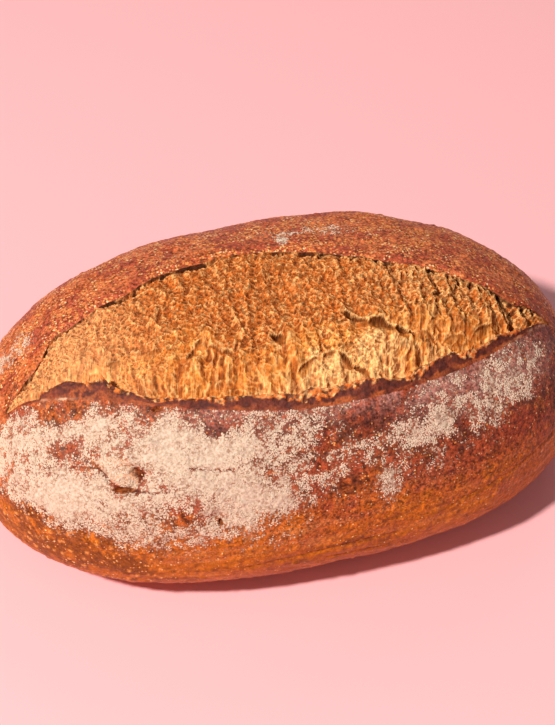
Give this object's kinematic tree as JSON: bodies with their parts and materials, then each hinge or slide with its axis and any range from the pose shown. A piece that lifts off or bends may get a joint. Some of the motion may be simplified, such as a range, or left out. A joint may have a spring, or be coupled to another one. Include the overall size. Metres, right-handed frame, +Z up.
{
  "type": "sourdough loaf",
  "caption": "Whole oval hearth loaf with one long slash, a raised ragged ear, torn golden crumb behind it and a floured brown crust.",
  "frame": {"origin": "centre of the flat base, under the middle of the loaf's box", "axes": "+X along the loaf, +Y from the ear side to the back, +Z up from the base"},
  "size_m": [0.301, 0.1948, 0.1176],
  "materials": {
    "crust": "dark red-brown baked crust, dry and finely speckled, slightly shiny low down",
    "crumb": "torn toasted crumb, matte and fibrous, golden to orange-brown",
    "flour": "dry cream-white flour dust, fully matte"
  },
  "bodies": {
    "root": {"loaf": "crust"}
  },
  "joints": []
}
